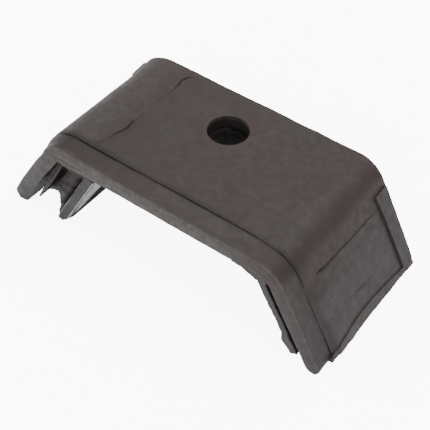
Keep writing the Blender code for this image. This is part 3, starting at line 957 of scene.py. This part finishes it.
class SADDLE_OT_strips(bpy.types.Operator):
    """Raised strips down the legs' rear edges, with a ragged outer edge."""

    bl_idname = "saddle.strips"
    bl_label = "Rear strips"

    def execute(self, context):
        section = Section(context.scene.saddle_sizes)
        for side, word, end in ((-1, "left", 0.0580), (1, "right", 0.0588)):
            low, high = section.leg_u(0.0140), section.leg_u(end)
            a = stations(low, high, 0.0008, 0.0004)
            b = stations(0.0, 1.0, 0.08, 0.05)

            def outline(u, share, side=side):
                """share runs from 0 on the curved inner line to 1 on the torn outer one."""
                s = section.down(u)
                near = curve(s, (0.0140, 0.0333), (0.0200, 0.0341), (0.0310, 0.0347),
                             (0.0600, 0.0352))
                far = 0.0448 + 0.00022 * torn(u, 0.0013, 51 + side) + 0.0001 * torn(
                    u, 0.0048, 53 + side)
                skew = smooth(0.0190, 0.0136, s) * share * 0.0008
                return side * (u - skew), near * (1 - share) + far * share

            def outer(u, y, side=side):
                """Raised by 1.2 mm, with fine lumps."""
                lump = 0.00007 * lattice(u, y, 0.0030, 55 + side) + ripple(u, y)
                return -0.0012 + lump

            def dirt_and_shade(u, y):
                """Patches: the upper half of a random field."""
                return 0.35 * np.clip(lattice(u, y, 0.0022, 57), 0.0, 1.0)

            solid = closed_slab(a, b, outer, level(section.ply), outline, 0.0003, 0.035, 3,
                                dirt_and_shade=dirt_and_shade)
            add_piece("rear_strip_" + word + "_skin", "rough_flash",
                      ["rear_strip_" + word], section.place, solid)
        return {"FINISHED"}


class SADDLE_OT_lips(bpy.types.Operator):
    """Flash lips along the legs' ends, torn at the front corner."""

    bl_idname = "saddle.lips"
    bl_label = "Bottom lips"

    def execute(self, context):
        section = Section(context.scene.saddle_sizes)
        for side, word in ((-1, "left"), (1, "right")):
            a = stations(0.0, 1.0, 0.1, 0.06)
            front = PANEL_FRONT - (0.0032 if side > 0 else 0.0)
            b = stations(front, REAR + 0.0004, 0.0006, 0.0004)

            def outline(share, y, side=side):
                """share runs from 0 on the lip's inner line to 1 on its torn end."""
                s0 = lip_line(section, y) - section.leg_u(0.0)
                s1 = curve(y, (-0.0362, 0.0614), (-0.0325, 0.0614), (-0.0303, 0.0610),
                           (-0.0229, 0.0611), (-0.0185, 0.0618), (0.0043, 0.0622),
                           (0.0205, 0.0623), (0.0331, 0.0622), (0.0443, 0.0630))
                s0 = s0 + 0.0016 * smooth(-0.0320, -0.0350, y)
                s1 = s1 + 0.00018 * torn(y, 0.0011, 61 + side) + 0.00014 * torn(
                    y, 0.0042, 63 + side)
                return side * section.leg_u(s0 * (1 - share) + s1 * share), y

            def bulge(u, y, side=side):
                """The right lip follows its leg's bulge, and the left leg has none."""
                return right_bulge(section, np.abs(u), y) if side > 0 else np.zeros_like(u)

            def outer(u, y, side=side):
                """Raised by 0.7 mm, with fine lumps."""
                return -0.0007 - bulge(u, y) + 0.00007 * lattice(u, y, 0.003, 65 + side)

            def inner(u, y):
                """One ply below the leg's surface."""
                return section.ply - bulge(u, y)

            def pale(u, y):
                """Rubbed all over, in uneven patches."""
                return -0.35 - 0.35 * lattice(u, y, 0.004, 67)

            solid = closed_slab(a, b, outer, inner, outline, 0.05, 0.0004, 3, dirt_and_shade=pale)
            add_piece("bottom_lip_" + word + "_skin", "rough_flash",
                      ["bottom_lip_" + word], section.place, solid)
        return {"FINISHED"}


# ---------------------------------------------------------------- inside the legs


def flap_solid(section, side, root, slot, inner_line, end_line, seed):
    """Inner flap: a thin root under the top, the bend, and a wall that stands off the leg."""
    begin = section.bend_start - root
    reach = section.leg_u(0.0500)
    front, rear = FRONT + 0.0004, REAR - 0.0030
    a = stations(begin, reach, 0.0009, 0.0005, [(section.leg_u(0.0060), 0.0012)])
    b = stations(front, rear, 0.0012, 0.0006)

    def outline(u, y):
        """Stretched from a frayed root to the torn end, with small tears in front."""
        end = section.leg_u(0.0) + end_line(y)
        share = (u - begin) / (reach - begin)
        frayed = begin + 0.0016 * torn(y, 0.0034, seed)
        edge = 0.00030 * torn(u, 0.0022, seed + 1) + 0.0008 * np.maximum(
            torn(u, 0.0041, seed + 2) - 0.45, 0.0) * smooth(0.004, 0.0, section.down(u))
        return side * (frayed * (1 - share) + end * share), y + edge * smooth(
            front + 0.004, front, y)

    def outer(u, y):
        """Just under the wall or the bead, and a slot further once past the bend."""
        against = np.maximum(under_bead(section, u), section.wall) + 0.0002
        s = section.down(u)
        return against + slot(s) * smooth(0.0052, 0.0068, s)

    def inner(u, y):
        """A thin root that grows by a cubic step to the wall's inner line."""
        s = section.down(u)
        far = inner_line(s)
        start = section.bend_start - np.abs(u)
        taper = smooth(root, 0.0, start)
        step = 0.0011 + 0.0007 * torn(u, 0.0036, seed + 3)
        near = outer(u, y) + step
        return near * (1 - taper) + np.maximum(far, near + 0.0006) * taper + 0.00015 * lattice(
            u, y, 0.005, seed + 4)

    def dirt_and_shade(u, y):
        """Painted shade: the face towards the leg, in the slot, is dark from the bend down."""
        return 0.95 * smooth(0.0040, 0.0060, section.down(u))

    def edge_shade(u, y, w):
        """Painted shade: the left flap has dark edges, which fade out down the leg."""
        return 0.0, 0.85 * smooth(0.040, 0.020, section.down(u)) * (u < 0.0)

    return closed_slab(a, b, outer, inner, outline, 0.0004, 0.0004, 4, dirt_and_shade=dirt_and_shade,
                       wall_marks=edge_shade)


class SADDLE_OT_flaps(bpy.types.Operator):
    """Inner flaps beside both legs, with frayed roots and torn ends."""

    bl_idname = "saddle.flaps"
    bl_label = "Inner flaps"

    def execute(self, context):
        section = Section(context.scene.saddle_sizes)

        def right_inner(s):
            """Depth of the right wall's inner face, down the leg."""
            return curve(s, (-0.0100, 0.0136), (0.0050, 0.0156), (0.0140, 0.0155),
                         (0.0200, 0.0155), (0.0260, 0.0151), (0.0320, 0.0152),
                         (0.0380, 0.0153), (0.0440, 0.0171), (0.0505, 0.0156))

        def left_inner(s):
            """Depth of the left wall's inner face, down the leg."""
            return curve(s, (-0.0100, 0.0122), (0.0100, 0.0130), (0.0300, 0.0145), (0.0450, 0.0143))

        def right_end(y):
            """Torn line where the right wall ends."""
            return 0.0507 + 0.0009 * torn(y, 0.0024, 71)

        def left_end(y):
            """Torn line where the left wall ends, lower at the front by a bell."""
            return 0.0441 + 0.0011 * torn(y, 0.0026, 72) + 0.0036 * bell(y - FRONT, 0.005)

        def right_slot(s):
            """Even slot."""
            return 0.0012

        def left_slot(s):
            """Slot that widens down the leg by a cubic step."""
            return 0.0004 + 0.0027 * smooth(0.014, 0.044, s)

        right = flap_solid(section, 1, 0.0120, right_slot, right_inner, right_end, 73)
        left = flap_solid(section, -1, 0.0180, left_slot, left_inner, left_end, 83)
        for word, solid in (("right", right), ("left", left)):
            add_piece(word + "_flap", "aged_flap", ["inner_wall_" + word],
                      section.place, solid)
        return {"FINISHED"}


def arch_line(n):
    """Torn arch of the web: how far down the leg it reaches, across its width."""
    line = curve(n, (0.0120, 0.0435), (0.0128, 0.0395), (0.0154, 0.0348), (0.0182, 0.0322),
                 (0.0201, 0.0330), (0.0219, 0.0370), (0.0239, 0.0400), (0.0250, 0.0470),
                 (0.0264, 0.0500))
    return line + 0.0007 + 0.0005 * torn(n, 0.0009, 91)


class SADDLE_OT_web(bpy.types.Operator):
    """Torn web across the front of the left leg, with moulded ridges."""

    bl_idname = "saddle.web"
    bl_label = "Left web"

    def execute(self, context):
        section = Section(context.scene.saddle_sizes)
        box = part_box("left_web")
        near, far, high = 0.0124, 0.0264, -0.0010
        a = stations(near, far, 0.0004, 0.0003)
        b = stations(0.0, 1.0, 0.02, 0.03)
        front = box[0].y

        def outline(n, share):
            """share runs from 0 on a slanting top edge to 1 on the torn arch."""
            upper = high + (n - near) * 0.35
            return n, upper * (1 - share) + arch_line(n) * share

        def face(n, s):
            """Ridge and valley as bells, a groove as cubic steps, and fine sine lines."""
            ridge = 0.0009 * bell(n - 0.0168 + 0.12 * (s - 0.020), 0.0012)
            valley = 0.0016 * bell(n - 0.0142, 0.0022) * smooth(0.032, 0.018, s)
            groove = 0.0018 * smooth(0.0236, 0.0262, n) * smooth(0.040, 0.020, s)
            lines = 0.00018 * np.sin(n / 0.00042 + 30.0 * s)
            return front + 0.0006 + valley + groove - ridge + lines + 0.0002 * lattice(
                n, s, 0.002, 92)

        def dirt_and_shade(n, s):
            """Painted shade: dark in the valley, along a slanting stripe and towards the top."""
            deep = bell(n - 0.0146, 0.0018) * smooth(0.037, 0.026, s)
            stripe = bell(n - 0.0256 + 0.12 * (s - 0.030), 0.0015) * smooth(0.043, 0.034, s)
            shade = 0.80 * smooth(0.034, 0.025, s) * (0.85 + 0.3 * lattice(n, s, 0.003, 93))
            return np.clip(0.9 * deep + 1.1 * stripe + shade, 0.0, 0.95)

        solid = closed_slab(a, b, face, level(box[1].y), outline, 0.0003, 0.02, 3, dirt_and_shade=dirt_and_shade)
        add_piece("left_web_skin", "aged_flap", ["left_web"],
                  section.beside_left, solid)
        return {"FINISHED"}


class SADDLE_OT_rib(bpy.types.Operator):
    """Rib parallel to the left leg, with fine ridges on its front end and a torn foot."""

    bl_idname = "saddle.rib"
    bl_label = "Left rib"

    def execute(self, context):
        section = Section(context.scene.saddle_sizes)
        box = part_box("left_rib")
        near, far = 0.0265, 0.0318
        high = -0.0050
        a = stations(near, far, 0.0005, 0.0004)
        b = stations(0.0, 1.0, 0.015, 0.0)
        front, rear = box[0].y, box[1].y

        def outline(n, share):
            """share runs from 0 under the top to 1 on the torn foot."""
            foot = curve(n, (near, 0.0496), (0.0274, 0.0504), (0.0298, 0.0494), (far, 0.0460))
            head = high + (n - near) / math.tan(section.angle)
            return n, head * (1 - share) + (foot + 0.0004 * torn(n, 0.0009, 95)) * share

        def face(n, s):
            """Fine ridges: a sine across the rib, with random lumps."""
            lines = 0.00020 * np.sin((n - near) / 0.00036)
            return front + 0.0003 + lines + 0.00025 * lattice(n, s, 0.003, 96)

        def dirt_and_shade(n, s):
            """Painted shade: dark by the edge next to the web, fading down the leg."""
            return 0.55 * smooth(near + 0.0012, near, n) * smooth(0.034, 0.020, s)

        def flange(n, s, w):
            """The inner side swells into a rounded flange along the foot, painted dark as shade."""
            return n + 0.0013 * (n > far - 0.0004) * smooth(0.0300, 0.0440, s) * smooth(
                0.0, 0.05, w), s

        def side_sheen_and_shade(n, s, w):
            """Painted highlight and shade: the inner side is pale above a wavering line and dark
            below it.
            """
            inside = n > far - 0.0004
            line = 0.0300 + 0.0110 * smooth(0.30, 0.0, w) + 0.0012 * torn(w, 0.04, 97)
            pale = smooth(line + 0.0005, line - 0.0020, s) * smooth(0.02, 0.06, w)
            dark = smooth(line - 0.0005, line + 0.0015, s)
            return np.where(inside, pale, 0.0), np.where(inside, dark, 0.1)

        solid = closed_slab(a, b, face, level(rear), outline, 0.0004, 0.0, 40, flange,
                            dirt_and_shade=dirt_and_shade, wall_marks=side_sheen_and_shade)
        add_piece("left_rib_skin", "rib_sheen_and_shade", ["left_rib"],
                  section.beside_left, solid)
        return {"FINISHED"}


# ---------------------------------------------------------------- bore pad


class SADDLE_OT_bore_pad(bpy.types.Operator):
    """Pad under the top round the bolt hole, with rings and a ledge in its bore."""

    bl_idname = "saddle.bore_pad"
    bl_label = "Bore pad"

    def execute(self, context):
        section = Section(context.scene.saddle_sizes)
        low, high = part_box("bore_pad")
        corner = 0.0080
        a = stations(low.x, high.x, 0.0012, 0.0006)
        b = stations(low.y, high.y, 0.0012, 0.0006)
        middle = ((low.x + high.x) / 2, (low.y + high.y) / 2)
        half = ((high.x - low.x) / 2, (high.y - low.y) / 2)

        def outline(x, y):
            """Square rounded to a superellipse near its corners."""
            dx, dy = (x - middle[0]) / half[0], (y - middle[1]) / half[1]
            pull = 1.0 - (1.0 - 0.7071) * (corner / half[0]) * (dx * dy) ** 4
            return middle[0] + dx * half[0] * pull, middle[1] + dy * half[1] * pull

        def bore(theta, w, inside):
            """A ledge on one side near the top, as cubic steps, and fine sine rings."""
            ledge = -0.0011 * smooth(0.02, 0.05, w) * smooth(0.16, 0.13, w) * smooth(
                0.2, 0.9, np.cos(theta - 2.9))
            rings = 0.00006 * math.sin(70.0 * w) if inside else 0.0
            return ledge + rings + 0.0001 * lattice(theta * 0.01, w * 0.01, 0.002, 97)

        def lower(x, y):
            """Flat, with a slight random swell."""
            return low.z + 0.00012 * lattice(x, y, 0.006, 98)

        def unbent(x, y, z):
            """The pad is drawn in space as it is."""
            return np.stack([x, y, z], axis=-1)

        centre_x = section.hole_x + section.centre - 0.0006
        hole = Hole(centre_x, HOLE_Y, section.hole_radius - 0.0004, 0.0150, 0.0004, bore)
        solid = closed_slab(a, b, level(high.z), lower, outline, wall_rows=5, hole=hole)
        # painted shade: the pad is coloured near black for the shadow seen down the bolt hole
        add_piece("bore_pad_skin", "bore_painted_shade", ["bore_pad"], unbent, solid)
        return {"FINISHED"}


# ---------------------------------------------------------------- stage


def pale_floor(tone):
    """Level square under the pad, which glows where the camera sees it."""
    mesh = bpy.data.meshes.new("floor")
    corners = [(x * FLOOR_REACH, y * FLOOR_REACH, 0.0)
               for x, y in ((-1, -1), (1, -1), (1, 1), (-1, 1))]
    mesh.from_pydata(corners, [], [(0, 1, 2, 3)])
    material = bpy.data.materials.new("pale_floor")
    material.use_nodes = True
    wire = Wiring(material.node_tree)
    shader = wire.nodes["Principled BSDF"]
    shader.inputs["Base Color"].default_value = (*tone, 1.0)
    shader.inputs["Roughness"].default_value = 0.9
    shader.inputs["Specular IOR Level"].default_value = 0.0
    seen = wire.new("LightPath").outputs["Is Camera Ray"]
    glow = wire.mix(seen, wire.tone([FLOOR_DIM] * 3), wire.tone([1.0] * 3))
    wire.feed(shader.inputs["Emission Color"], glow)
    shader.inputs["Emission Strength"].default_value = FLOOR_GLOW
    mesh.materials.append(material)
    floor = bpy.data.objects.new("floor", mesh)
    floor.location.z = -0.0003
    bpy.context.scene.collection.objects.link(floor)


def soft_light(name, target, offset, size, power):
    """Square area light at an offset from its target, facing it."""
    data = bpy.data.lights.new(name, "AREA")
    data.size = size
    data.energy = power
    lamp = bpy.data.objects.new(name, data)
    lamp.location = target + Vector(offset)
    direction = target - lamp.location
    lamp.rotation_euler = direction.to_track_quat("-Z", "Y").to_euler()
    bpy.context.scene.collection.objects.link(lamp)


def white_sky():
    """Even white light from all round, brighter where the camera sees it."""
    world = bpy.data.worlds.new("studio")
    world.use_nodes = True
    wire = Wiring(world.node_tree)
    background = wire.nodes["Background"]
    background.inputs["Color"].default_value = (1.0, 1.0, 1.0, 1.0)
    seen = wire.new("LightPath").outputs["Is Camera Ray"]
    backdrop = wire.maths("MULTIPLY", seen, SKY_GLOW)
    wire.feed(background.inputs["Strength"], wire.maths("ADD", backdrop, SKY_LIGHT))
    bpy.context.scene.world = world


def angled_camera():
    """Camera that looks down from the front right, turned slightly about its own axis."""
    data = bpy.data.cameras.new("camera")
    data.sensor_width = 36.0
    data.lens = LENS
    data.clip_start = 0.01
    azimuth, elevation = math.radians(CAMERA_AZIMUTH), math.radians(CAMERA_ELEVATION)
    roll = math.radians(CAMERA_ROLL)
    back = Vector((math.sin(azimuth) * math.cos(elevation),
                   -math.cos(azimuth) * math.cos(elevation), math.sin(elevation)))
    across = Vector((0.0, 0.0, 1.0)).cross(back).normalized()
    up = back.cross(across)
    right = math.cos(roll) * across + math.sin(roll) * up
    upward = -math.sin(roll) * across + math.cos(roll) * up
    turn = Matrix((right, upward, back)).transposed().to_4x4()
    camera = bpy.data.objects.new("camera", data)
    camera.matrix_world = Matrix.Translation(CAMERA_PLACE) @ turn
    bpy.context.scene.collection.objects.link(camera)
    bpy.context.scene.camera = camera


class SADDLE_OT_stage(bpy.types.Operator):
    """Pale floor, soft lights, white sky and the camera."""

    bl_idname = "saddle.stage"
    bl_label = "Stage"

    def execute(self, context):
        pale_floor(context.scene.saddle_colours.floor)
        middle = (CAD_BOX[0] + CAD_BOX[1]) / 2
        for name, offset, size, power in LIGHTS:
            soft_light(name, middle, offset, size, power)
        white_sky()
        angled_camera()
        return {"FINISHED"}


# ---------------------------------------------------------------- panel and registration

STEPS = (
    SADDLE_OT_materials,
    SADDLE_OT_carcass,
    SADDLE_OT_covers,
    SADDLE_OT_bead,
    SADDLE_OT_strips,
    SADDLE_OT_lips,
    SADDLE_OT_flaps,
    SADDLE_OT_web,
    SADDLE_OT_rib,
    SADDLE_OT_bore_pad,
    SADDLE_OT_stage,
)


class SADDLE_PT_panel(bpy.types.Panel):
    """Sidebar panel with the sizes, the colours and every step."""

    bl_idname = "SADDLE_PT_panel"
    bl_label = "Rubber Saddle Pad"
    bl_space_type = "VIEW_3D"
    bl_region_type = "UI"
    bl_category = "Saddle Pad"

    def draw(self, context):
        for group in (context.scene.saddle_sizes, context.scene.saddle_colours):
            for label in group.bl_rna.properties.keys():
                if label not in ("rna_type", "name"):
                    self.layout.prop(group, label)
        for step in STEPS:
            self.layout.operator(step.bl_idname)


CLASSES = (SaddleSizes, SaddleColours, *STEPS, SADDLE_PT_panel)


def register():
    """Register the classes and the scene's two groups of properties."""
    for item in CLASSES:
        bpy.utils.register_class(item)
    bpy.types.Scene.saddle_sizes = bpy.props.PointerProperty(type=SaddleSizes)
    bpy.types.Scene.saddle_colours = bpy.props.PointerProperty(type=SaddleColours)


def unregister():
    """Take away what register added."""
    del bpy.types.Scene.saddle_colours
    del bpy.types.Scene.saddle_sizes
    for item in reversed(CLASSES):
        bpy.utils.unregister_class(item)


def main():
    """Build every piece and the stage."""
    register()
    bpy.ops.saddle.materials()
    bpy.ops.saddle.carcass()
    bpy.ops.saddle.covers()
    bpy.ops.saddle.bead()
    bpy.ops.saddle.strips()
    bpy.ops.saddle.lips()
    bpy.ops.saddle.flaps()
    bpy.ops.saddle.web()
    bpy.ops.saddle.rib()
    bpy.ops.saddle.bore_pad()
    bpy.ops.saddle.stage()


if __name__ == "__main__":
    main()
